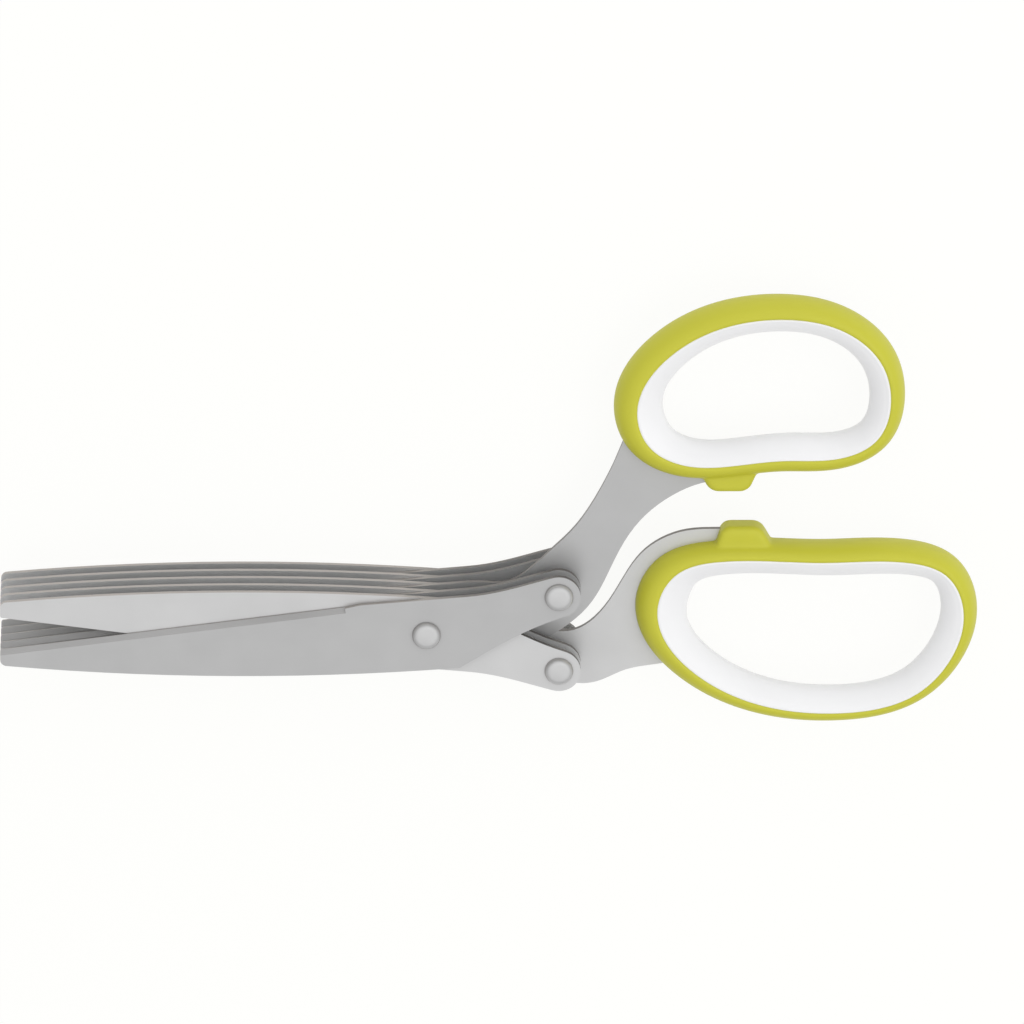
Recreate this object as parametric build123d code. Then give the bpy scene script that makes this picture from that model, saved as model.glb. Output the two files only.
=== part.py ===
from build123d import *
import math
import os

# Herb scissors, lying flat and a little open. Sizes are in millimetres, angles in degrees.
# X runs from the pivot to the handles, Y from the finger handle to the thumb handle, and Z up
# through the stack of blades. The origin is on the pivot's axis, where its rivet rests.
# The lower jaw belongs to the thumb handle and the upper jaw to the finger handle.

# The stack: pairs of rubbing blades, held apart by washers and sleeves
pair_count = 5
pair_pitch = 3.6
blade_thickness = 1.0
rubbing_gap = 0.05
running_gap = 0.05

# Rivets, washers and sleeves
head_radius = 2.8
head_height = 1.1
head_bevel = 0.45
pivot_shank_radius = 2.0
pivot_washer_radius = 4.0
rear_shank_radius = 1.5
rear_sleeve_radius = 2.5
rear_rivet_reach = 27.05
rear_rivet_angle = 17.3

# A jaw, drawn as the lower one; the upper jaw is its mirror image
jaw_length = 83.2
tip_height = 3.1
tip_drop = 3.3
tip_corner_radius = 1.3
tip_edge_radius = 0.5
heel_setback = 15.9
heel_rise = 5.64
heel_step_length = 2.9
heel_step_rise = 0.69
shoulder_length = 21.0
spine_end_setback = 6.5
spine_end_drop = 6.9
spine_bow = 2.0
bevel_width = 1.0
bevel_depth = 0.75

# The tail of a short blade, round the rear rivet
tail_radius = 4.25
shoulder_angle = 5.0
tail_top_angle = 15.2
tail_foot_angle = 18.3
spine_corner_angle = 32.6

# Handle rings: a white core with a soft grip round it
ring_height = 8.6
core_lip = 0.7
tang_cover = 1.7
thumb_centre_x = 65.75
thumb_centre_y = 49.55
thumb_half_length = 24.55
thumb_half_height = 15.65
thumb_core_width = 3.9
thumb_grip_width = 3.38
finger_centre_x = 74.9
finger_centre_y = -2.15
finger_half_length = 29.6
finger_half_height = 16.05
finger_core_width = 4.07
finger_grip_width = 2.72

# How a ring's wall varies with the way that it faces: its slant along X, its slant along Y, its
# fullness at both ends, and its skew
thumb_core_shares = (-0.11, -0.03, 0.17, 0.13)
thumb_grip_shares = (-0.26, -0.01, 0.10, -0.04)
finger_core_shares = (-0.16, -0.02, 0.25, -0.17)
finger_grip_shares = (-0.30, 0.04, 0.30, 0.0)

# The bumpers that stop the handles when the jaws close
lug_thickness = 5.2
lug_tip_length = 7.5
lug_root_length = 12.6
lug_corner_radius = 1.5
lug_edge_bevel = 0.6
thumb_lug_x = 58.8
thumb_lug_lean = 0.2
thumb_lug_stand = 2.8
finger_lug_x = 62.0
finger_lug_lean = -0.6
finger_lug_stand = 3.7

# One overrun serves all cuts, and each ring's curves pass through this many stations
overrun = 1.0
stations = 20

# The rim where core and grip meet, as shares of a ring's half length and half height
thumb_rim_shares = [
    (-1.005, -0.235), (-0.755, 0.470), (-0.373, 0.839), (0.157, 0.980), (0.613, 0.830),
    (0.918, 0.408), (1.002, -0.067), (0.891, -0.648), (0.607, -0.885), (0.161, -0.920),
    (-0.234, -0.986), (-0.606, -0.990), (-0.900, -0.750),
]
finger_rim_shares = [
    (-1.006, 0.378), (-0.874, 0.831), (-0.600, 0.988), (0.101, 0.977), (0.626, 0.980),
    (0.894, 0.805), (1.007, 0.348), (0.948, -0.213), (0.702, -0.757), (0.181, -1.010),
    (-0.400, -0.859), (-0.800, -0.420), (-0.983, 0.057),
]

# Section of the core's bore: the share of its height that is narrowest, between two slopes
core_land_share = 0.45

# Section of the grip: height as a share of half the ring, with the share of the width there
grip_section_shares = [
    (-1.00, 0.24), (-0.84, 0.62), (-0.38, 0.96), (0.38, 0.96), (0.84, 0.62), (1.00, 0.24),
]

# Edges of the tangs, as shares along and across the line from rear rivet to ring centre.
# The outer edge starts at the heel, the inner edge ends at the spine.
thumb_outer_shares = [(-0.120, 0.130), (0.045, 0.104), (0.207, 0.106), (0.426, 0.164), (0.621, 0.244)]
thumb_inner_shares = [
    (0.685, -0.156), (0.611, -0.100), (0.495, -0.052), (0.371, -0.038), (0.222, -0.066),
    (0.028, -0.128), (-0.125, -0.122), (-0.276, -0.058),
]
finger_outer_shares = [(-0.078, 0.053), (0.045, 0.118), (0.132, 0.124), (0.249, 0.088), (0.394, 0.077),
                       (0.528, 0.062)]
finger_inner_shares = [
    (0.773, -0.462), (0.542, -0.475), (0.389, -0.412), (0.283, -0.291), (0.178, -0.164),
    (0.073, -0.107), (-0.023, -0.119), (-0.134, -0.178),
]
tang_end_shares = [(0.80, 0.06), (0.80, -0.04)]

# Places that follow from the sizes
middle_pair = (pair_count + 1) // 2
stack_middle = head_height + ((pair_count - 1) * pair_pitch + 2 * blade_thickness + rubbing_gap) / 2
heel = Vector(-heel_setback, heel_rise)
shoulder = heel + Vector(heel_step_length, heel_step_rise)
tip_top = Vector(-jaw_length, -tip_drop)
tip_foot = tip_top - Vector(0, tip_height)
spine_end = Vector(spine_end_setback, -spine_end_drop)


def direction(angle):
    """The unit vector at an angle from +X, in the plane of the blades."""
    return Vector(math.cos(math.radians(angle)), math.sin(math.radians(angle)))


tail_start = shoulder + shoulder_length * direction(shoulder_angle)
rear_rivet = rear_rivet_reach * direction(rear_rivet_angle)
thumb_centre = Vector(thumb_centre_x, thumb_centre_y)
finger_centre = Vector(finger_centre_x, finger_centre_y)


def upper_seat(number):
    """Height of the bottom face of an upper blade. The pairs count from the top of the stack."""
    return head_height + (pair_count - number) * pair_pitch


def lower_seat(number):
    """Height of the bottom face of a lower blade, which lies on the upper blade of its pair."""
    return upper_seat(number) + blade_thickness + rubbing_gap


def disc(radius, centre=Vector(0, 0)):
    """A flat disc at a centre in the plane of the blades."""
    return Pos(centre.X, centre.Y, 0) * Circle(radius)


def jaw_lines():
    """Spine, tip, cutting edge, the step behind its heel and the shoulder, from spine to tail."""
    bow = (spine_end + tip_foot) / 2 - Vector(0, spine_bow)
    return [
        ThreePointArc(spine_end, bow, tip_foot),
        Line(tip_foot, tip_top),
        Line(tip_top, heel),
        Line(heel, shoulder),
        Line(shoulder, tail_start),
    ]


def short_tail():
    """Tail of a short blade: over the rear rivet, round it, and back under to the spine."""
    top = rear_rivet + tail_radius * direction(90 + tail_top_angle)
    back = rear_rivet + tail_radius * direction(0)
    foot = rear_rivet + tail_radius * direction(tail_foot_angle - 90)
    return [
        Spline(tail_start, top, tangents=[direction(shoulder_angle), direction(tail_top_angle)]),
        ThreePointArc(top, back, foot),
        Spline(foot, spine_end, tangents=[-direction(tail_foot_angle), -direction(spine_corner_angle)]),
    ]


def beside(centre, share):
    """A point by its shares along and across the line from the rear rivet to a ring's centre."""
    line = centre - rear_rivet
    return rear_rivet + line * share[0] + Vector(-line.Y, line.X) * share[1]


def tang_tail(centre, outer_shares, inner_shares):
    """Tail of a middle blade: the tang's outer edge, its end inside the ring, and its inner edge."""
    outer = [beside(centre, share) for share in outer_shares]
    end = [beside(centre, share) for share in tang_end_shares]
    inner = [beside(centre, share) for share in inner_shares]
    return [
        Spline(tail_start, *outer, tangents=[direction(shoulder_angle), outer[-1] - outer[-2]]),
        Polyline(outer[-1], *end, inner[0]),
        Spline(*inner, spine_end, tangents=[inner[1] - inner[0], -direction(spine_corner_angle)]),
    ]


def blade_plate(tail):
    """A blade lying on the XY plane, with its holes. Its cutting edge is ground on the top face."""
    face = make_face([*jaw_lines(), *tail])
    face = fillet(face.vertices().sort_by(Axis.X)[:2].sort_by(Axis.Y)[0], tip_corner_radius)
    tip_corner = min(face.vertices(), key=lambda corner: (corner.center() - tip_top).length)
    face = fillet(tip_corner, tip_edge_radius)
    face -= disc(pivot_shank_radius + running_gap)
    face -= disc(rear_shank_radius + running_gap, rear_rivet)
    return extrude(face, blade_thickness, dir=(0, 0, 1))


def ground(plate):
    """The plate with its cutting edge bevelled from the top face, from beyond the tip to the heel."""
    edge = heel - tip_top
    start = Vector(tip_top.X, tip_top.Y, blade_thickness) - edge.normalized() * overrun
    section = Plane(origin=start, x_dir=Vector(-edge.Y, edge.X), z_dir=edge)
    slope = bevel_depth / bevel_width
    wedge = Polygon(
        (-bevel_width - overrun, overrun * slope),
        (overrun, overrun * slope),
        (overrun, -bevel_depth - overrun * slope),
        align=None,
    )
    return plate - extrude(section * wedge, edge.length + overrun, dir=edge)


def rim_curve(centre, half_length, half_height, shares):
    """The closed rim of a ring, where its core and grip meet."""
    points = [centre + Vector(half_length * x, half_height * y) for x, y in shares]
    return Spline(*points, periodic=True)


def shifted(rim, width, height, shares=(0, 0, 0, 0)):
    """The rim moved outwards by a width, as a face at a height. The shares say how the width varies
    with the way that the wall faces."""
    x_slant, y_slant, fullness, skew = shares
    points = []
    for number in range(stations):
        place = number / stations
        along = rim % place
        x, y = -along.Y, along.X
        reach = width * (1 + x_slant * x + y_slant * y + fullness * x * x + skew * x * y)
        points.append(rim @ place + Vector(x, y) * reach + Vector(0, 0, height))
    return make_face(Spline(*points, periodic=True))


def rim_block(rim, extra):
    """The full space inside a rim, as high as the ring and a little more on each side."""
    half = ring_height / 2 + extra
    return loft([shifted(rim, 0, stack_middle - half), shifted(rim, 0, stack_middle + half)], ruled=True)


def ring_core(rim, width, shares, tang):
    """The hard inner ring. Its inner wall is crowned, so that the hole is narrowest at mid height."""
    half = ring_height / 2
    end = 1 + overrun / half
    steepness = (width - core_lip) / (1 - core_land_share)
    bore = []
    for level in (-end, -core_land_share, core_land_share, end):
        depth = width - steepness * (abs(level) - core_land_share)
        bore.append(shifted(rim, -depth, stack_middle + half * level, shares))
    return rim_block(rim, 0) - loft(bore, ruled=True) - tang


def lug(x, lean, root, tip):
    """A bumper that stands out from a ring, wider at its root, with its tip leaning along X."""
    tip_x = x + lean
    corners = [
        (x - lug_root_length / 2, root), (tip_x - lug_tip_length / 2, tip),
        (tip_x + lug_tip_length / 2, tip), (x + lug_root_length / 2, root),
    ]
    face = make_face(Polyline(*corners, close=True))
    tips = [v for v in face.vertices() if abs(v.Y - tip) < abs(v.Y - root)]
    face = fillet(tips, lug_corner_radius)
    block = extrude(face, lug_thickness / 2, both=True)
    block = chamfer(block.faces().filter_by(Axis.Z).edges(), lug_edge_bevel)
    return Pos(0, 0, stack_middle) * block


def ring_grip(rim, width, shares, bumper, tang):
    """The soft outer ring with its bumper, rounded outside and seated on the core's rim."""
    half = ring_height / 2
    sections = [
        shifted(rim, width * share, stack_middle + half * level, shares)
        for level, share in grip_section_shares
    ]
    return loft(sections, ruled=True) + bumper - rim_block(rim, overrun) - tang


def rivet(shank_radius, low, high):
    """A rivet on the Z axis. Low and high are the seats of its two flat, bevelled heads."""
    foot = low - head_height
    top = high + head_height
    profile = Polyline(
        (0, foot), (head_radius - head_bevel, foot), (head_radius, foot + head_bevel),
        (head_radius, low), (shank_radius, low), (shank_radius, high), (head_radius, high),
        (head_radius, top - head_bevel), (head_radius - head_bevel, top), (0, top),
        close=True,
    )
    return revolve(Plane.XZ * make_face(profile), Axis.Z)


def sleeve(radius, bore_radius, low, high):
    """A washer or sleeve on the Z axis between two heights."""
    return Pos(0, 0, low) * extrude(Circle(radius) - Circle(bore_radius), high - low, dir=(0, 0, 1))


def turned_over(blade):
    """An upper blade: the same blade turned over about X, with its bevel on the bottom face."""
    return Pos(0, 0, blade_thickness) * Rot(180, 0, 0) * blade


pieces = {}

# Blades, from the top of the stack down; the middle blade of each jaw carries a handle
short_blade = ground(blade_plate(short_tail()))
turned_finger_centre = Vector(finger_centre.X, -finger_centre.Y)
thumb_blade = ground(blade_plate(tang_tail(thumb_centre, thumb_outer_shares, thumb_inner_shares)))
finger_blade = ground(
    blade_plate(tang_tail(turned_finger_centre, finger_outer_shares, finger_inner_shares))
)
thumb_rim = rim_curve(thumb_centre, thumb_half_length, thumb_half_height, thumb_rim_shares)
finger_rim = rim_curve(finger_centre, finger_half_length, finger_half_height, finger_rim_shares)


def tang_room(rim, width, shares):
    """The space round a ring's hole that a tang's end keeps out of."""
    foot = shifted(rim, tang_cover - width, 0, shares)
    top = shifted(rim, tang_cover - width, upper_seat(0), shares)
    return loft([foot, top], ruled=True)


for number in range(1, pair_count + 1):
    if number == middle_pair:
        continue
    pieces[f"lower_blade_{number}"] = Pos(0, 0, lower_seat(number)) * short_blade
    pieces[f"upper_blade_{number}"] = Pos(0, 0, upper_seat(number)) * turned_over(short_blade)

thumb_room = tang_room(thumb_rim, thumb_core_width, thumb_core_shares)
finger_room = tang_room(finger_rim, finger_core_width, finger_core_shares)
thumb_tang = Pos(0, 0, lower_seat(middle_pair)) * thumb_blade - thumb_room
finger_tang = Pos(0, 0, upper_seat(middle_pair)) * turned_over(finger_blade) - finger_room
pieces["lower_tang_blade"] = thumb_tang
pieces["upper_tang_blade"] = finger_tang

# Rivets: the pivot's runs through all the blades, and each rear one through the blades of its jaw
top_of_lower = lower_seat(1) + blade_thickness
top_of_upper = upper_seat(1) + blade_thickness
thumb_rivet_place = Pos(rear_rivet.X, rear_rivet.Y, 0)
finger_rivet_place = Pos(rear_rivet.X, -rear_rivet.Y, 0)
pieces["pivot_rivet"] = rivet(pivot_shank_radius, upper_seat(pair_count), top_of_lower + running_gap)
pieces["thumb_rivet"] = thumb_rivet_place * rivet(rear_shank_radius, lower_seat(pair_count), top_of_lower)
pieces["finger_rivet"] = finger_rivet_place * rivet(rear_shank_radius, upper_seat(pair_count), top_of_upper)

# Washers on the pivot and sleeves on the rear rivets, one in each gap of the stack
for number in range(1, pair_count):
    washer_foot = lower_seat(number + 1) + blade_thickness + running_gap
    pieces[f"pivot_washer_{number}"] = sleeve(
        pivot_washer_radius, pivot_shank_radius + running_gap, washer_foot, upper_seat(number)
    )
    pieces[f"thumb_sleeve_{number}"] = thumb_rivet_place * sleeve(
        rear_sleeve_radius, rear_shank_radius + running_gap,
        lower_seat(number + 1) + blade_thickness, lower_seat(number)
    )
    pieces[f"finger_sleeve_{number}"] = finger_rivet_place * sleeve(
        rear_sleeve_radius, rear_shank_radius + running_gap,
        upper_seat(number + 1) + blade_thickness, upper_seat(number)
    )

# Handles
thumb_lug = lug(
    thumb_lug_x,
    thumb_lug_lean,
    thumb_centre_y - thumb_half_height - thumb_grip_width / 2,
    thumb_centre_y - thumb_half_height - thumb_grip_width - thumb_lug_stand,
)
finger_lug = lug(
    finger_lug_x,
    finger_lug_lean,
    finger_centre_y + finger_half_height + finger_grip_width / 2,
    finger_centre_y + finger_half_height + finger_grip_width + finger_lug_stand,
)
pieces["thumb_core"] = ring_core(thumb_rim, thumb_core_width, thumb_core_shares, thumb_tang)
pieces["thumb_grip"] = ring_grip(thumb_rim, thumb_grip_width, thumb_grip_shares, thumb_lug, thumb_tang)
pieces["finger_core"] = ring_core(finger_rim, finger_core_width, finger_core_shares, finger_tang)
pieces["finger_grip"] = ring_grip(
    finger_rim, finger_grip_width, finger_grip_shares, finger_lug, finger_tang
)

os.makedirs("parts", exist_ok=True)
for name, piece in pieces.items():
    export_step(piece, f"parts/{name}.step")
    size = piece.bounding_box().size
    print(f"{name}: {size.X:.1f} x {size.Y:.1f} x {size.Z:.1f} mm, {piece.volume:.0f} cubic mm")
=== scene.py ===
# %% [markdown]
# # Herb scissors on a white table
# The real object is five pairs of thin steel blades on one pivot rivet, with two ring handles:
# a hard white core in each, and a soft yellow-green grip moulded round it. The scissors lie flat
# and a little open. Their blades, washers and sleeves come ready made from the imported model, at
# their real size, and only get a finish here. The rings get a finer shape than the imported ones,
# round the same rims, and the rivets get rounder heads.

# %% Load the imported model
import math

import bmesh
import bpy
import numpy as np
from mathutils import Matrix, Vector


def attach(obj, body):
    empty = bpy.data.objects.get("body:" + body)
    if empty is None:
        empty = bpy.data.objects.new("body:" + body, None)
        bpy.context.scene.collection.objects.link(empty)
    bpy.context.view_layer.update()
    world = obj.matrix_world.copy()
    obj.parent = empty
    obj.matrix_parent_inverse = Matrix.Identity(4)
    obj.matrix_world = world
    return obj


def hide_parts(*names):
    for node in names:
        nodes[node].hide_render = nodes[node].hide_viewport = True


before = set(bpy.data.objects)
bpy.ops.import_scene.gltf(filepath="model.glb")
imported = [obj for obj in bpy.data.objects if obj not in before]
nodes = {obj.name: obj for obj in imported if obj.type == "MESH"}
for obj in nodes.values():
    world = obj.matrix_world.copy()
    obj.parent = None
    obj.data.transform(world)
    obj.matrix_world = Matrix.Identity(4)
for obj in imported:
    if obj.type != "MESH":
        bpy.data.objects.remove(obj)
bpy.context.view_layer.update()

print("nodes in the packed model:", len(nodes))

# %% [markdown]
# ## Sizes
# Blender works in metres, and these scissors are measured in millimetres, so one name turns
# the one into the other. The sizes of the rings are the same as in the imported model, and each rim
# is a handful of places on a ring, as shares of its half length and half height. The last four
# values of a ring place its bumper, which is called its lug here.

# %% Sizes of the rings
mm = 0.001
ring_height = 8.6 * mm
stack_middle = 9.325 * mm

thumb_ring = {
    "centre": Vector((65.75, 49.55, 0)) * mm,
    "half": Vector((24.55, 15.65, 0)) * mm,
    "core_width": 3.9 * mm,
    "core_shares": (-0.11, -0.03, 0.17, 0.13),
    "grip_width": 3.38 * mm,
    "grip_shares": (-0.26, -0.01, 0.10, -0.04),
    "rim_shares": [
        (-1.005, -0.235), (-0.755, 0.470), (-0.373, 0.839), (0.157, 0.980), (0.613, 0.830),
        (0.918, 0.408), (1.002, -0.067), (0.891, -0.648), (0.607, -0.885), (0.161, -0.920),
        (-0.234, -0.986), (-0.606, -0.990), (-0.900, -0.750),
    ],
    "lug_x": 58.8 * mm,
    "lug_lean": 0.2 * mm,
    "lug_stand": 2.8 * mm,
    "lug_side": -1,
}
finger_ring = {
    "centre": Vector((74.9, -2.15, 0)) * mm,
    "half": Vector((29.6, 16.05, 0)) * mm,
    "core_width": 4.07 * mm,
    "core_shares": (-0.16, -0.02, 0.25, -0.17),
    "grip_width": 2.72 * mm,
    "grip_shares": (-0.30, 0.04, 0.30, 0.0),
    "rim_shares": [
        (-1.006, 0.378), (-0.874, 0.831), (-0.600, 0.988), (0.101, 0.977), (0.626, 0.980),
        (0.894, 0.805), (1.007, 0.348), (0.948, -0.213), (0.702, -0.757), (0.181, -1.010),
        (-0.400, -0.859), (-0.800, -0.420), (-0.983, 0.057),
    ],
    "lug_x": 62.0 * mm,
    "lug_lean": -0.6 * mm,
    "lug_stand": 3.7 * mm,
    "lug_side": 1,
}
print("bumpers stand off in mm:", thumb_ring["lug_stand"] / mm, finger_ring["lug_stand"] / mm)

# %% [markdown]
# ## Smooth closed curves
# A designer draws a rim with a few places and lets a cubic spline run through them. Blender's
# automatic Bezier handles would do it too, but they bulge a little between uneven places. A
# spline whose bend changes evenly at every place, worked out with a small set of equations,
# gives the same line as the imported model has.

# %% A smooth closed line through a few places
def smooth_loop(places, steps):
    """Steps of the closed cubic spline through the places, as many in each stretch."""
    knots = np.array(places, dtype=float)
    following = np.roll(knots, -1, axis=0)
    span = np.linalg.norm(following - knots, axis=1)
    slope = (following - knots) / span[:, None]
    count = len(knots)
    equations = np.zeros((count, count))
    for number in range(count):
        before = number - 1
        equations[number, before] = span[before]
        equations[number, number] = 2 * (span[before] + span[number])
        equations[number, (number + 1) % count] = span[number]
    bend = np.linalg.solve(equations, 6 * (slope - np.roll(slope, 1, axis=0)))
    found = []
    for number in range(count):
        after = (number + 1) % count
        for step in range(steps):
            far = step / steps
            near = 1 - far
            lift = (near**3 - near) * bend[number] + (far**3 - far) * bend[after]
            place = near * knots[number] + far * knots[after] + lift * span[number] ** 2 / 6
            found.append(Vector(place))
    return found


def rim_of(ring, steps=16):
    """The rim where core and grip meet, with the outward direction at each step."""
    half = ring["half"]
    places = [ring["centre"] + Vector((half.x * x, half.y * y, 0)) for x, y in ring["rim_shares"]]
    line = smooth_loop(places, steps)
    rim = []
    for number, place in enumerate(line):
        along = (line[(number + 1) % len(line)] - line[number - 1]).normalized()
        rim.append((place, Vector((-along.y, along.x, 0))))
    return rim


print("steps round the thumb ring:", len(rim_of(thumb_ring)))

# %% [markdown]
# ## Sections of the two rings
# A ring is one section carried round its rim. Across a section, the first number is how far a
# place stands out from the rim, as a share of the width there, and the second its height, as a
# share of half the ring's height. The grip is a soft half round, and the core a thin wall whose
# bore is crowned, so that it's comfortable on a finger. Both edges at the seam are a little
# rounded, which leaves the fine groove that the real two-shot moulding has.

# %% Section of the grip and of the core
seam_drop = 0.16 * mm
seam_share = 1 - seam_drop / (ring_height / 2)
grip_section_shares = [
    (0.00, seam_share), (0.05, 1.00), (0.24, 1.00), (0.46, 0.93), (0.68, 0.78), (0.86, 0.55),
    (0.97, 0.28), (1.00, 0.00),
]
core_section_shares = [
    (0.00, seam_share), (0.04, 0.98), (0.14, 0.95), (0.30, 0.88), (0.52, 0.75), (0.80, 0.51),
    (0.95, 0.27), (1.00, 0.00),
]


def mirrored(half_section):
    """A whole section from its front half: the back is the same, seen in a mirror."""
    back = [(out, -height) for out, height in reversed(half_section[:-1])]
    return half_section + back


def section_line(half_section, steps=3):
    """The smooth closed line of a section."""
    places = [Vector((out, height, 0)) for out, height in mirrored(half_section)]
    return [(place.x, place.y) for place in smooth_loop(places, steps)]


print("steps round the grip's section:", len(section_line(grip_section_shares)))

# %% [markdown]
# ## Carrying a section round a rim
# Blender's screw and spin tools need a round path, and these rims aren't round. So the rim
# starts as a circle with as many vertices as the rim has steps. Each extrusion makes the next
# line of the section, and every vertex moves to its own place on it. Bridging the last line to
# the first closes the ring. A whole number on each vertex says which step of the rim it is on,
# and an extrusion copies it.

# %% The ring builder
def place_loop(verts, step, rim, reach, height):
    """Move the vertices of one line of the section to their places round the rim."""
    for vert in verts:
        place, outward = rim[vert[step]]
        vert.co = place + outward * reach(outward) + Vector((0, 0, stack_middle + height))


def width_round(width, shares):
    """A wall's width by the outward direction. The shares are its slant along X, its slant along
    Y, its fullness at both ends, and its skew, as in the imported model."""
    x_slant, y_slant, fullness, skew = shares

    def width_at(out):
        share = 1 + x_slant * out.x + y_slant * out.y + fullness * out.x**2 + skew * out.x * out.y
        return width * share

    return width_at


def ring_shape(rim, section, width):
    """A bmesh of a section carried round a rim. The width depends on the outward direction."""
    shape = bmesh.new()
    step = shape.verts.layers.int.new("step")
    bmesh.ops.create_circle(shape, segments=len(rim), radius=1)
    shape.verts.ensure_lookup_table()
    for number, vert in enumerate(shape.verts):
        vert[step] = number
    first = shape.edges[:]
    line = first
    for number, (share, level) in enumerate(section):
        if number:
            grown = bmesh.ops.extrude_edge_only(shape, edges=line)["geom"]
            line = [item for item in grown if isinstance(item, bmesh.types.BMEdge)]
        verts = {vert for edge in line for vert in edge.verts}
        place_loop(verts, step, rim, lambda out: width(out) * share, level * ring_height / 2)
    bmesh.ops.bridge_loops(shape, edges=first + line)
    bmesh.ops.recalc_face_normals(shape, faces=shape.faces)
    return shape


# %% [markdown]
# ## From a shape to a piece of the model
# A bmesh is only a shape on the workbench. It becomes visible when it is written into a mesh
# and an object. The piece then takes over from a imported part and turns with the same body.

# %% Finish a piece
def finished(name, shape, body, node):
    """Turn a bmesh into a smooth-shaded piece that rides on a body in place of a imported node."""
    mesh = bpy.data.meshes.new(name)
    shape.to_mesh(mesh)
    shape.free()
    mesh.shade_smooth()
    piece = bpy.data.objects.new(name, mesh)
    bpy.context.scene.collection.objects.link(piece)
    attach(piece, body)
    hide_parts(node)
    print(name, "faces:", len(mesh.polygons))
    return piece


# %% [markdown]
# ## The white cores
# The core is the hard part that the tang is moulded into. Its section goes inwards from the rim,
# so its width is negative.

# %% Make the cores
core_section = section_line(core_section_shares)
cores = {}
for name, ring, body in (
    ("thumb_core", thumb_ring, "thumb_lever"),
    ("finger_core", finger_ring, "finger_lever"),
):
    inwards = width_round(-ring["core_width"], ring["core_shares"])
    shape = ring_shape(rim_of(ring), core_section, inwards)
    cores[name] = finished(f"{name}_ring", shape, body, name)

# %% [markdown]
# ## The bumpers
# Each grip carries a bumper that meets the other one when the blades close. It is a block that
# narrows to its tip. Two bevels round it: first the upright corners of the tip, and then every
# edge round its front and back, but not those of the root, which sits inside the grip.

# %% Shape of a bumper
lug_thickness = 5.2 * mm
lug_tip_length = 7.5 * mm
lug_root_length = 12.6 * mm
lug_root_share = 0.25
lug_corner_radius = 1.5 * mm
lug_corner_steps = 6
lug_front_radius = 1.1 * mm
lug_front_steps = 4
same_place = mm / 10


def lug_shape(ring):
    """A bumper as a bmesh: a block that tapers to its tip, with rounded edges."""
    side = ring["lug_side"]
    root = ring["centre"].y + side * (ring["half"].y + ring["grip_width"] * lug_root_share)
    tip = ring["centre"].y + side * (ring["half"].y + ring["grip_width"] + ring["lug_stand"])
    lean = ring["lug_lean"]
    shape = bmesh.new()
    bmesh.ops.create_cube(shape, size=1)
    for vert in shape.verts:
        at_tip = vert.co.y * side > 0
        length = lug_tip_length if at_tip else lug_root_length
        vert.co.x = ring["lug_x"] + (lean if at_tip else 0) + vert.co.x * length
        vert.co.y = tip if at_tip else root
        vert.co.z = stack_middle + vert.co.z * lug_thickness
    uprights = [
        edge for edge in shape.edges
        if all(abs(vert.co.y - tip) < same_place for vert in edge.verts)
        and abs(edge.verts[0].co.z - edge.verts[1].co.z) > same_place
    ]
    bmesh.ops.bevel(
        shape, geom=uprights, offset=lug_corner_radius, segments=lug_corner_steps, profile=0.5,
        affect="EDGES", material=-1,
    )
    fronts = [
        edge for edge in shape.edges
        if edge.verts[0].co.z == edge.verts[1].co.z
        and any(abs(vert.co.y - root) > same_place for vert in edge.verts)
    ]
    bmesh.ops.bevel(
        shape, geom=fronts, offset=lug_front_radius, segments=lug_front_steps, profile=0.5,
        affect="EDGES", material=-1,
    )
    return shape


# %% [markdown]
# ## The soft grips
# In the mould a bumper runs into its ring with a soft root. A Boolean joint would leave a sharp
# line there, so both shapes are put in one mesh and remeshed with small voxels, which fuses them,
# and a few smoothing passes then soften the root as the mould does.

# %% Make the grips
voxel = 0.26 * mm
smooth_passes = 7


def fused(shape, size, passes):
    """One skin round all the shapes in a bmesh, with soft inner corners."""
    mesh = bpy.data.meshes.new("rough")
    shape.to_mesh(mesh)
    shape.free()
    rough = bpy.data.objects.new("rough", mesh)
    bpy.context.scene.collection.objects.link(rough)
    skin = rough.modifiers.new("skin", "REMESH")
    skin.mode = "VOXEL"
    skin.voxel_size = size
    settled = rough.evaluated_get(bpy.context.evaluated_depsgraph_get())
    skinned = bpy.data.meshes.new_from_object(settled)
    bpy.data.objects.remove(rough)
    bpy.data.meshes.remove(mesh)
    shape = bmesh.new()
    shape.from_mesh(skinned)
    bpy.data.meshes.remove(skinned)
    for _ in range(passes):
        bmesh.ops.smooth_vert(
            shape, verts=shape.verts, factor=0.5, use_axis_x=True, use_axis_y=True, use_axis_z=True,
        )
    return shape


grip_section = section_line(grip_section_shares)
grips = {}
for name, ring, body in (
    ("thumb_grip", thumb_ring, "thumb_lever"),
    ("finger_grip", finger_ring, "finger_lever"),
):
    outwards = width_round(ring["grip_width"], ring["grip_shares"])
    shape = ring_shape(rim_of(ring), grip_section, outwards)
    lug = lug_shape(ring)
    lug_mesh = bpy.data.meshes.new("lug")
    lug.to_mesh(lug_mesh)
    lug.free()
    shape.from_mesh(lug_mesh)
    bpy.data.meshes.remove(lug_mesh)
    bmesh.ops.recalc_face_normals(shape, faces=shape.faces)
    grips[name] = finished(f"{name}_ring", fused(shape, voxel, smooth_passes), body, name)

# %% [markdown]
# ## The rivets
# A rivet's head is upset in a round die, so its edge is rounded and its face very slightly
# domed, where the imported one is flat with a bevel. The profile is half of the rivet's section,
# from the foot on its axis up to the top. Spinning it once round the axis makes the rivet.

# %% Make the rivets
head_radius = 2.8 * mm
head_height = 1.1 * mm
# A power below 1 makes the head full: nearly flat in the middle, and steep at its rim
head_fullness = 0.35
head_steps = 8
spin_steps = 64
merge_distance = mm / 1000


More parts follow.
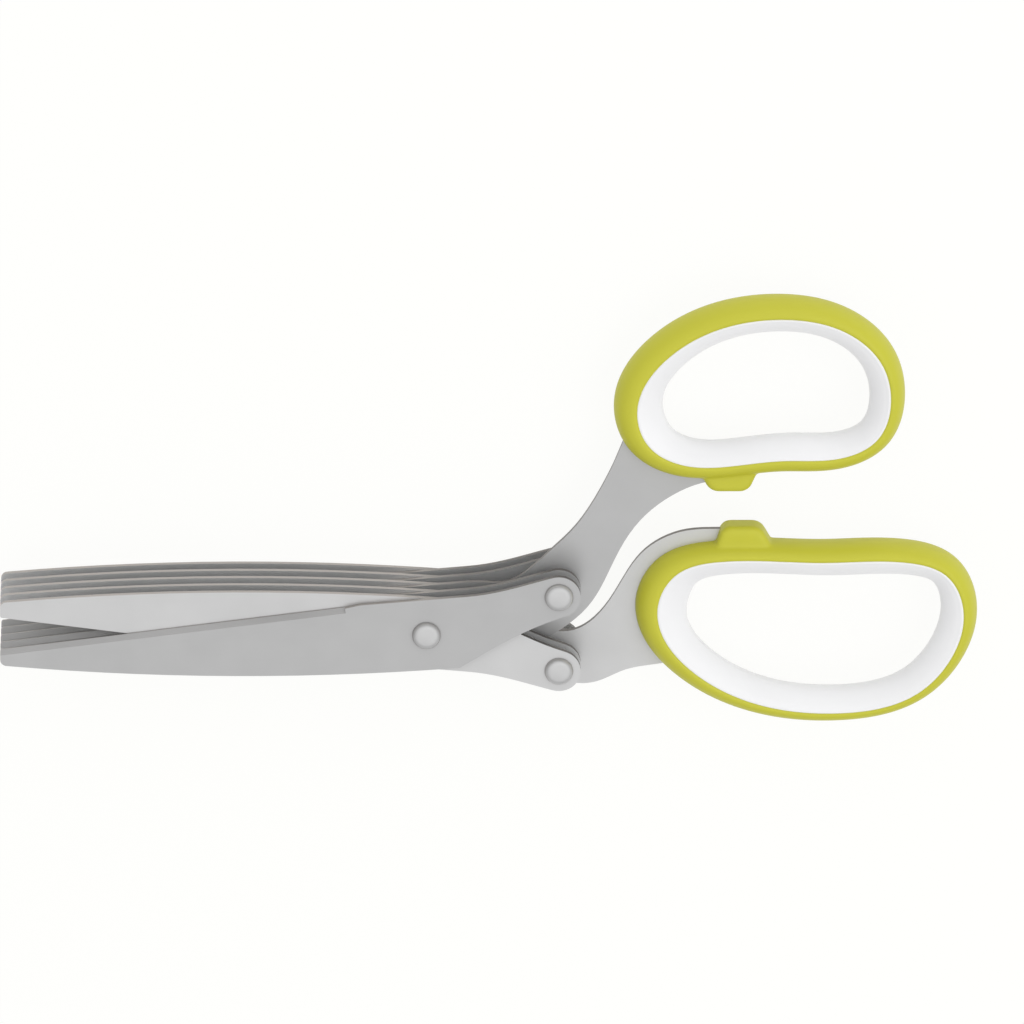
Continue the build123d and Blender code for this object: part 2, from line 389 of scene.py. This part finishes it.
def head_line(face, seat):
    """From the middle of a head's face out to its rim and down to its seat, as X and Z."""
    line = []
    for number in range(head_steps + 1):
        turn = math.pi / 2 * number / head_steps
        out = head_radius * math.sin(turn) ** head_fullness
        line.append((out, seat + (face - seat) * math.cos(turn)))
    return line


def rivet_shape(place, shank_radius, low, high):
    """A two-headed rivet round a vertical axis. Low and high are the seats of its heads."""
    shank = [(shank_radius, low), (shank_radius, high)]
    line = head_line(low - head_height, low) + shank + head_line(high + head_height, high)[::-1]
    shape = bmesh.new()
    verts = [shape.verts.new((place.x + out, place.y, height)) for out, height in line]
    edges = [shape.edges.new(pair) for pair in zip(verts, verts[1:])]
    bmesh.ops.spin(
        shape, geom=verts + edges, cent=place, axis=(0, 0, 1), angle=math.tau, steps=spin_steps,
        use_merge=True,
    )
    bmesh.ops.remove_doubles(shape, verts=shape.verts, dist=merge_distance)
    bmesh.ops.recalc_face_normals(shape, faces=shape.faces)
    return shape


rivets = []
for name, shank_radius, body in (
    ("pivot_rivet", 2.0 * mm, "finger_lever"),
    ("finger_rivet", 1.5 * mm, "finger_lever"),
    ("thumb_rivet", 1.5 * mm, "thumb_lever"),
):
    corners = [nodes[name].matrix_world @ Vector(corner) for corner in nodes[name].bound_box]
    foot = min(corner.z for corner in corners)
    top = max(corner.z for corner in corners)
    middle = sum(corners, Vector()) / len(corners)
    axis_foot = Vector((middle.x, middle.y, 0))
    shape = rivet_shape(axis_foot, shank_radius, foot + head_height, top - head_height)
    rivets.append(finished(f"{name}_upset", shape, body, name))

# %% [markdown]
# ## Small helpers for materials
# Colours are written as the hex numbers that a picture editor shows. Blender's shaders work on
# linear light, so one function turns the one into the other, and a second makes a colour a
# little brighter or darker. The third adds a shader node: it sets the node's own properties, and
# fills or links its sockets.

# %% Helpers for materials
def linear(hex_colour):
    """A hex colour as linear red, green, blue and alpha."""
    channels = [int(hex_colour[start:start + 2], 16) / 255 for start in (1, 3, 5)]
    return [c / 12.92 if c <= 0.04045 else ((c + 0.055) / 1.055) ** 2.4 for c in channels] + [1]


def brightened(hex_colour, share):
    """A hex colour in linear light, with this share of its brightness."""
    return [min(1, channel * share) for channel in linear(hex_colour)[:3]] + [1]


def add_node(tree, kind, sockets, **settings):
    """Add a node with its settings. A socket gets a value, or a link from another's output."""
    node = tree.nodes.new(kind)
    for name, value in settings.items():
        setattr(node, name, value)
    for name, value in sockets.items():
        if isinstance(value, bpy.types.NodeSocket):
            tree.links.new(value, node.inputs[name])
        else:
            node.inputs[name].default_value = value
    return node


def new_material(name, **sockets):
    """A material whose Principled shader has these values."""
    material = bpy.data.materials.new(name)
    material.use_nodes = True
    shader = material.node_tree.nodes["Principled BSDF"]
    for socket, value in sockets.items():
        shader.inputs[socket.replace("_", " ")].default_value = value
    return material, material.node_tree, shader


print("mid grey #808080 in linear light:", round(linear("#808080")[0], 3))

# %% [markdown]
# ## Steel
# The blades are stainless steel sheet, blanked in a press, and their flats are ground with a
# fine belt, lengthwise. That gives the eye a satin, nearly even grey with a breath of streaks
# along the blade. The blanked edges are rougher, so the spines are a little darker than the flats.
# Behind the pivot the edges of the tails are darker still, and that is painted shade for the shade
# between the tails round the rivets. The flats are told from the rest by the way that the surface
# faces, because they face straight up or down.

# %% Colour of a blade by place
spine_end_x = -5 * mm
tail_start_x = 8 * mm
# How straight up or down a face looks: 0 is sideways, as an edge does, and 1 is straight
edge_upright = 0.45
flat_upright = 0.85
mottle_size = 9 * mm
dim_share = 0.93
bright_share = 1.05


def steel_colour(tree, where, flat_colour, edge_colours):
    """The flats in one colour with a soft mottle, and the edges from the first edge colour at
    the spines to the second, a painted shade, at the tails."""
    facing = add_node(tree, "ShaderNodeSeparateXYZ", {"Vector": where.outputs["Normal"]})
    upright = add_node(tree, "ShaderNodeMath", {0: facing.outputs["Z"]}, operation="ABSOLUTE")
    is_flat = add_node(tree, "ShaderNodeMapRange", {
        "Value": upright.outputs[0], "From Min": edge_upright, "From Max": flat_upright,
    })
    along = add_node(tree, "ShaderNodeSeparateXYZ", {"Vector": where.outputs["Object"]})
    # Painted shade: the edges darken from the spines towards the tails behind the pivot
    tail_shade = add_node(tree, "ShaderNodeMapRange", {
        "Value": along.outputs["X"], "From Min": spine_end_x, "From Max": tail_start_x,
    })
    edge = add_node(tree, "ShaderNodeMix", {
        0: tail_shade.outputs[0], 6: linear(edge_colours[0]), 7: linear(edge_colours[1]),
    }, data_type="RGBA")
    # Handling leaves the mottle
    mottle = add_node(tree, "ShaderNodeTexNoise", {
        "Vector": where.outputs["Object"], "Scale": 1 / mottle_size, "Detail": 2, "Roughness": 0.5,
    })
    flat = add_node(tree, "ShaderNodeMix", {
        0: mottle.outputs["Fac"],
        6: brightened(flat_colour, dim_share),
        7: brightened(flat_colour, bright_share),
    }, data_type="RGBA")
    colour = add_node(tree, "ShaderNodeMix", {
        0: is_flat.outputs[0], 6: edge.outputs[2], 7: flat.outputs[2],
    }, data_type="RGBA")
    return colour.outputs[2]


# %% [markdown]
# ## The belt's streaks
# The real grit is finer than a pixel, so the streaks are drawn as coarse as they need to be to
# show: 20 mm long and 0.3 mm wide. They hardly change the colour. They make the gloss a little
# uneven and the surface a little rough to the light, and both come from one stretched noise.

# %% Ground and blanked steel
streak_length = 20 * mm
streak_width = 0.3 * mm
streak_depth = 0.02 * mm
streak_strength = 0.05
glossy_roughness = 0.36
satin_roughness = 0.42


def steel(name, flat_colour, edge_colours, streak_turn):
    """Belt-ground stainless sheet, whose streaks run at an angle to X, given in degrees."""
    # Fine scratches also scatter light to all sides, so the metal isn't a full mirror here
    material, tree, shader = new_material(name, Metallic=0.6, Anisotropic=0.6)
    where = add_node(tree, "ShaderNodeTexCoord", {})
    turned = add_node(tree, "ShaderNodeMapping", {
        "Vector": where.outputs["Object"], "Rotation": (0, 0, math.radians(streak_turn)),
    })
    stretched = add_node(tree, "ShaderNodeMapping", {
        "Vector": turned.outputs["Vector"],
        "Scale": (1 / streak_length, 1 / streak_width, 1 / streak_width),
    })
    streaks = add_node(tree, "ShaderNodeTexNoise", {
        "Vector": stretched.outputs["Vector"], "Scale": 1, "Detail": 3, "Roughness": 0.6,
    })
    rough = add_node(tree, "ShaderNodeMapRange", {
        "Value": streaks.outputs["Fac"], "To Min": glossy_roughness, "To Max": satin_roughness,
    })
    bump = add_node(tree, "ShaderNodeBump", {
        "Height": streaks.outputs["Fac"], "Strength": streak_strength, "Distance": streak_depth,
    })
    colour = steel_colour(tree, where, flat_colour, edge_colours)
    tree.links.new(colour, shader.inputs["Base Color"])
    tree.links.new(rough.outputs[0], shader.inputs["Roughness"])
    tree.links.new(bump.outputs["Normal"], shader.inputs["Normal"])
    return material


# The spines' own colour, then the painted shade for the edges of the tails
blanked_spines_and_shaded_tails = ("#a9a39e", "#6b6662")
turned_edge = ("#b4b2b0", "#b4b2b0")
upper_steel = steel("ground_stainless_upper", "#d3d3d3", blanked_spines_and_shaded_tails, 2)
lower_steel = steel("ground_stainless_lower", "#bfbfbf", blanked_spines_and_shaded_tails, -2)
rivet_steel = steel("turned_stainless_rivet", "#cfcfcf", turned_edge, 0)

for piece in rivets:
    piece.data.materials.append(rivet_steel)
for name, item in nodes.items():
    if "blade" in name:
        finish = upper_steel if name.startswith("upper") else lower_steel
    else:
        finish = rivet_steel
    item.data.materials.clear()
    item.data.materials.append(finish)
print("steel blades:", sum("blade" in name for name in nodes))

# %% [markdown]
# ## Plastics
# The core is white polypropylene from a polished mould: a soft gloss. The grip is a
# thermoplastic rubber, moulded over it, matt and a little warm, with the faint grain of a
# spark-eroded mould. Neither is quite even in colour, in soft clouds about 12 mm across.

# %% Moulded plastics
cloud_size = 12 * mm
deep_share = 0.97
pale_share = 1.03
grain_depth = 0.02 * mm


def moulded(name, colour, roughness, grain_size, grain_strength):
    """A moulded plastic with a fine mould grain and a slight unevenness of colour."""
    material, tree, shader = new_material(name, Roughness=roughness)
    where = add_node(tree, "ShaderNodeTexCoord", {})
    cloudy = add_node(tree, "ShaderNodeTexNoise", {
        "Vector": where.outputs["Object"], "Scale": 1 / cloud_size, "Detail": 2,
    })
    shade = add_node(tree, "ShaderNodeMix", {
        0: cloudy.outputs["Fac"],
        6: brightened(colour, deep_share),
        7: brightened(colour, pale_share),
    }, data_type="RGBA")
    grainy = add_node(tree, "ShaderNodeTexNoise", {
        "Vector": where.outputs["Object"], "Scale": 1 / grain_size, "Detail": 2,
    })
    bump = add_node(tree, "ShaderNodeBump", {
        "Height": grainy.outputs["Fac"], "Strength": grain_strength, "Distance": grain_depth,
    })
    tree.links.new(shade.outputs[2], shader.inputs["Base Color"])
    tree.links.new(bump.outputs["Normal"], shader.inputs["Normal"])
    return material


white_plastic = moulded(
    "moulded_polypropylene_white", "#e3e3e4", roughness=0.32, grain_size=0.6 * mm,
    grain_strength=0.04,
)
green_rubber = moulded(
    "moulded_rubber_green", "#bab830", roughness=0.48, grain_size=0.3 * mm, grain_strength=0.12,
)
for piece in cores.values():
    piece.data.materials.append(white_plastic)
for piece in grips.values():
    piece.data.materials.append(green_rubber)
print("white cores:", len(cores), "and green grips:", len(grips))

# %% [markdown]
# ## The table and the background
# The photograph's background is plain white paper. The floor is matt, and the camera and the
# steel see most of it as white, while the rest is its real shading, so it keeps a soft shadow.
# Blender tells a material what kind of ray has met it, and that is how the two are told apart.

# %% Floor
floor_size = 3.0
floor_white_share = 0.93


def seen_directly(tree):
    """1 for a ray from the camera, or one that gloss or glass sends on, and 0 for the rest."""
    ray = add_node(tree, "ShaderNodeLightPath", {})
    in_sight = add_node(tree, "ShaderNodeMath", {
        0: ray.outputs["Is Camera Ray"], 1: ray.outputs["Is Glossy Ray"],
    }, operation="MAXIMUM")
    in_sight_or_through = add_node(tree, "ShaderNodeMath", {
        0: in_sight.outputs[0], 1: ray.outputs["Is Transmission Ray"],
    }, operation="MAXIMUM")
    return in_sight_or_through.outputs[0]


floor_shape = bmesh.new()
bmesh.ops.create_grid(floor_shape, x_segments=1, y_segments=1, size=floor_size)
floor_mesh = bpy.data.meshes.new("floor")
floor_shape.to_mesh(floor_mesh)
floor_shape.free()
floor = bpy.data.objects.new("floor", floor_mesh)
bpy.context.scene.collection.objects.link(floor)

paper = bpy.data.materials.new("matt_white_paper")
paper.use_nodes = True
tree = paper.node_tree
tree.nodes.clear()
matt = add_node(tree, "ShaderNodeBsdfDiffuse", {"Color": linear("#f2f2f0")})
white = add_node(tree, "ShaderNodeEmission", {"Color": linear("#fffffd"), "Strength": 1.0})
white_share = add_node(tree, "ShaderNodeMath", {
    0: seen_directly(tree), 1: floor_white_share,
}, operation="MULTIPLY")
matt_and_white = add_node(tree, "ShaderNodeMixShader", {
    0: white_share.outputs[0], 1: matt.outputs[0], 2: white.outputs[0],
})
add_node(tree, "ShaderNodeOutputMaterial", {"Surface": matt_and_white.outputs[0]})
floor_mesh.materials.append(paper)
print("floor in metres:", 2 * floor_size, "square")

# %% [markdown]
# ## The tent
# Product photographs like this one are lit by a white tent: soft light from all sides, a little
# stronger from above. The world is the tent here. It has three strengths: plain white for the
# camera, an even light for the pieces, and for gloss the tent as steel mirrors it, with walls
# that are darker than the roof.

# %% World
tent_strength = 0.82
wall_strength = 0.35
# The height of a direction: 0 is level, and 1 is straight up
wall_top = 0.6
roof_edge = 0.95

world = bpy.data.worlds.new("tent")
bpy.context.scene.world = world
world.use_nodes = True
tree = world.node_tree
tree.nodes.clear()
way = add_node(tree, "ShaderNodeTexCoord", {})
height = add_node(tree, "ShaderNodeSeparateXYZ", {"Vector": way.outputs["Generated"]})
mirrored_strength = add_node(tree, "ShaderNodeMapRange", {
    "Value": height.outputs["Z"], "From Min": wall_top, "From Max": roof_edge,
    "To Min": wall_strength, "To Max": 1.0,
})
lit_or_mirrored = add_node(tree, "ShaderNodeMapRange", {
    "Value": seen_directly(tree), "To Min": tent_strength, "To Max": mirrored_strength.outputs[0],
})
ray = add_node(tree, "ShaderNodeLightPath", {})
strength = add_node(tree, "ShaderNodeMapRange", {
    "Value": ray.outputs["Is Camera Ray"], "To Min": lit_or_mirrored.outputs[0], "To Max": 1.0,
})
tent = add_node(tree, "ShaderNodeBackground", {
    "Color": linear("#ffffff"), "Strength": strength.outputs[0],
})
add_node(tree, "ShaderNodeOutputWorld", {"Surface": tent.outputs[0]})
print("nodes in the tent:", len(tree.nodes))

# %% [markdown]
# ## The lamps
# One large lamp, above the scissors and to their right, gives most of the light from above, and
# a small one behind them a little light for the gaps between the blades. Both are hidden from
# gloss, because a mirrored lamp would be a hard patch on the steel.

# %% Lamps
def add_lamp(name, place, size, watts):
    """A square soft lamp, turned towards the scissors and hidden from gloss."""
    light = bpy.data.lights.new(name, "AREA")
    light.energy = watts
    light.size = size
    lamp = bpy.data.objects.new(name, light)
    lamp.location = place
    lamp.rotation_euler = (-Vector(place)).to_track_quat("-Z", "Y").to_euler()
    lamp.visible_glossy = False
    bpy.context.scene.collection.objects.link(lamp)
    print(name, "in watts:", watts)


add_lamp("overhead_lamp", place=(0.5, 0.08, 0.78), size=0.8, watts=3.3)
add_lamp("back_lamp", place=(0.1, 0.6, 0.35), size=0.4, watts=0.6)

# %% [markdown]
# ## Camera
# The photograph has hardly any perspective, so it was taken from far away with a long lens,
# tilted 23 degrees from straight above, which shows the backs of the blades. A pixel of the
# picture is 0.195 mm on the object.

# %% Camera
tilt = math.radians(23)
picture_width = 1024 * 0.195 * mm
focal_length = 1000
sensor_width = 36
aim = Vector((16.67, 22.65, 9.325)) * mm
distance = picture_width * focal_length / sensor_width

lens = bpy.data.cameras.new("camera")
lens.lens = focal_length
lens.sensor_width = sensor_width
lens.clip_end = 4 * distance
camera = bpy.data.objects.new("camera", lens)
right = Vector((1, 0, 0))
away = Vector((0, math.sin(tilt), math.cos(tilt)))
up = Vector((0, math.cos(tilt), -math.sin(tilt)))
turn = Matrix((right, up, away)).transposed().to_4x4()
camera.matrix_world = Matrix.Translation(aim + away * distance) @ turn
bpy.context.scene.collection.objects.link(camera)
bpy.context.scene.camera = camera
bpy.context.scene.view_settings.view_transform = "Standard"
print("camera distance in metres:", round(distance, 2))
